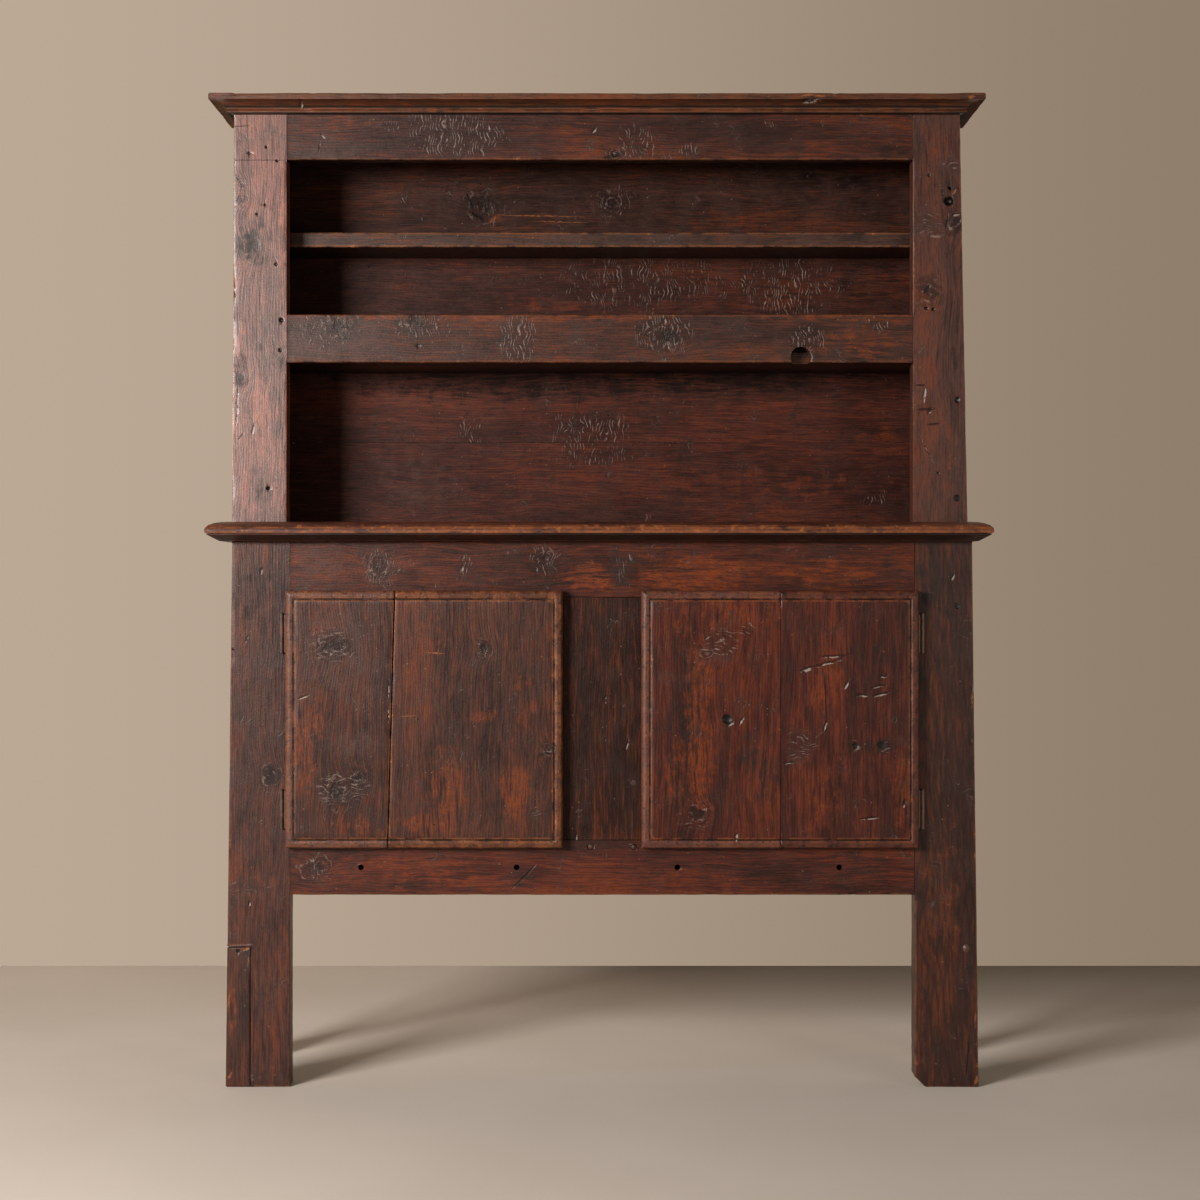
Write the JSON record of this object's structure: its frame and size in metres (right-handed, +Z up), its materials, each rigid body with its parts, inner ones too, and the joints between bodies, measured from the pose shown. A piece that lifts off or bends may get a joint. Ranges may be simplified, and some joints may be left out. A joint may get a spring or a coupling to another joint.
{
  "type": "hutch",
  "caption": "Rustic pine hutch: an open rack of shelves with a moulded cornice on a framed base with hinged doors, a moulded counter and plain legs.",
  "frame": {"origin": "on the floor, at the middle of the bounding box", "axes": "+Z up, -Y out of the front with the doors, +X to the right seen from the front"},
  "size_m": [1.54, 0.405, 1.9497],
  "materials": {
    "stained_pine": "dark red-brown stained pine, waxed, with worn edges",
    "counter_pine": "stained pine rubbed back to warm brown by use",
    "unpolished_pine": "dusty brown pine, sawn and never polished",
    "forged_iron": "dark forged iron with a dull old surface"
  },
  "bodies": {
    "carcase": {"base_stile_left": "stained_pine", "base_stile_right": "stained_pine", "left_foot_splice": "stained_pine", "base_bottom_rail": "stained_pine", "base_top_rail": "stained_pine", "base_muntin": "stained_pine", "muntin_peg_1": "stained_pine", "muntin_peg_2": "stained_pine", "rose_head_nail": "forged_iron", "base_back_leg_left": "stained_pine", "base_back_leg_right": "stained_pine", "base_side_panel_left": "stained_pine", "base_side_panel_right": "stained_pine", "cabinet_floor": "unpolished_pine", "cabinet_shelf": "unpolished_pine", "base_back_board_1": "unpolished_pine", "base_back_board_2": "unpolished_pine", "base_back_board_3": "unpolished_pine", "counter_board": "counter_pine", "counter_front_moulding": "counter_pine", "counter_left_moulding": "counter_pine", "counter_right_moulding": "counter_pine", "rack_stile_left": "stained_pine", "rack_stile_right": "stained_pine", "rack_top_rail": "stained_pine", "rack_plate_rail": "stained_pine", "rack_side_left": "stained_pine", "rack_side_right": "stained_pine", "rack_lower_shelf": "stained_pine", "rack_upper_shelf": "stained_pine", "rack_top_board": "unpolished_pine", "rack_back_board_1": "stained_pine", "rack_back_board_2": "stained_pine", "rack_back_board_3": "stained_pine", "rack_back_board_4": "stained_pine", "cornice_front": "stained_pine", "cornice_left": "stained_pine", "cornice_right": "stained_pine", "left_lower_hinge_frame_leaf": "forged_iron", "left_lower_hinge_pin": "forged_iron", "left_upper_hinge_frame_leaf": "forged_iron", "left_upper_hinge_pin": "forged_iron", "right_lower_hinge_frame_leaf": "forged_iron", "right_lower_hinge_pin": "forged_iron", "right_upper_hinge_frame_leaf": "forged_iron", "right_upper_hinge_pin": "forged_iron"},
    "left_door": {"left_door_left_board": "stained_pine", "left_door_right_board": "stained_pine", "left_door_lower_batten": "unpolished_pine", "left_door_upper_batten": "unpolished_pine", "left_lower_hinge_door_leaf": "forged_iron", "left_upper_hinge_door_leaf": "forged_iron"},
    "right_door": {"right_door_left_board": "stained_pine", "right_door_right_board": "stained_pine", "right_door_lower_batten": "unpolished_pine", "right_door_upper_batten": "unpolished_pine", "right_lower_hinge_door_leaf": "forged_iron", "right_upper_hinge_door_leaf": "forged_iron"}
  },
  "joints": [
    {"name": "left_door_hinge", "type": "hinge", "parent": "carcase", "child": "left_door", "pos_m": [-0.611, -0.1566, 0.7145], "axis": [0, 0, -1], "range_deg": [0, 105]},
    {"name": "right_door_hinge", "type": "hinge", "parent": "carcase", "child": "right_door", "pos_m": [0.631, -0.1566, 0.7145], "axis": [0, 0, 1], "range_deg": [0, 105]}
  ]
}
